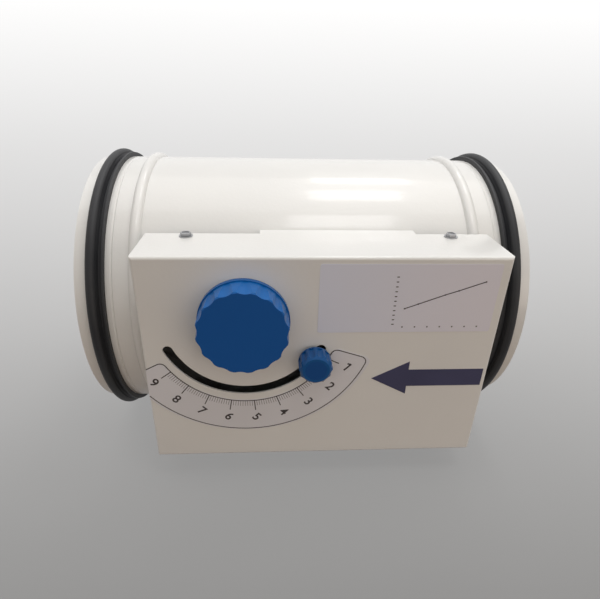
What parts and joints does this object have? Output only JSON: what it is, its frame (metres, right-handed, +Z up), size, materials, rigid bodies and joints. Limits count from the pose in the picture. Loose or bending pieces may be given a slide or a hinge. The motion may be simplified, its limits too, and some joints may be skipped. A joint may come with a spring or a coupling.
{
  "type": "constant flow damper",
  "caption": "Self-acting constant flow damper for a round duct, with lip-sealed spigots, a side cover, a setting knob and a clamp knob in an arc slot.",
  "frame": {"origin": "centre of the inlet spigot's end plane, on the duct's axis", "axes": "+X along the duct's axis, out of the air inlet; +Z up; the cover and the knobs face -Y"},
  "size_m": [0.305, 0.2468, 0.211],
  "materials": {
    "white_coat": "gloss white powder coat",
    "black_epdm": "satin black rubber",
    "galvanised_sheet": "galvanised",
    "aluminium_rivet": "satin",
    "zinc_plated_steel": "bright zinc plated",
    "label_film": "printed film",
    "dark_film": "dark film",
    "bronze": "sintered bronze",
    "grey_plastic": "moulded",
    "aluminium_sheet": "mill finish",
    "black_steel": "black oxide",
    "bellows_film": "coated fabric",
    "blue_plastic": "moulded blue",
    "black_plastic": "moulded black",
    "spring_steel": "spring wire",
    "brass_insert": "machined"
  },
  "bodies": {
    "casing": {"duct_body": "white_coat", "inlet_seal": "black_epdm", "outlet_seal": "black_epdm", "housing_frame": "galvanised_sheet", "frame_rivets": "aluminium_rivet", "cover": "white_coat", "cover_screws": "zinc_plated_steel", "scale_label": "label_film", "type_label": "label_film", "flow_arrow": "dark_film", "front_bearing": "bronze", "rear_bearing": "grey_plastic", "rear_bearing_rivets": "aluminium_rivet", "bellows_bracket": "galvanised_sheet", "bellows_bracket_rivets": "aluminium_rivet", "stop_pins": "zinc_plated_steel", "setting_pivot": "zinc_plated_steel", "bellows": "bellows_film"},
    "blade": {"blade_axle": "zinc_plated_steel", "damper_blade": "aluminium_sheet", "blade_screws": "zinc_plated_steel", "axle_crank": "zinc_plated_steel", "crank_set_screw": "black_steel", "axle_clip": "black_steel"},
    "setting_arm": {"setting_lever": "zinc_plated_steel", "setting_knob": "blue_plastic", "clamp_stud": "zinc_plated_steel", "clamp_washer": "black_plastic", "tension_spring": "spring_steel"},
    "clamp_knob": {"clamp_knob": "blue_plastic", "clamp_insert": "brass_insert"}
  },
  "joints": [
    {"name": "blade_turn", "type": "hinge", "parent": "casing", "child": "blade", "pos_m": [-0.14, 0, 0.0236], "axis": [0, 1, 0], "range_deg": [0, 80], "stiffness_Nm_per_rad": 0.15, "springref_deg": -57.3, "deforming": ["bellows", "tension_spring"]},
    {"name": "setting_turn", "type": "hinge", "parent": "casing", "child": "setting_arm", "pos_m": [-0.1939, -0.112, 0.026], "axis": [0, 1, 0], "range_deg": [-8.5, 122.5], "deforming": ["tension_spring"]},
    {"name": "clamp_knob_turn", "type": "hinge", "parent": "setting_arm", "child": "clamp_knob", "pos_m": [-0.14953, -0.1266, -0.00281], "axis": [0, -1, 0], "range_deg": [0, 360]}
  ]
}
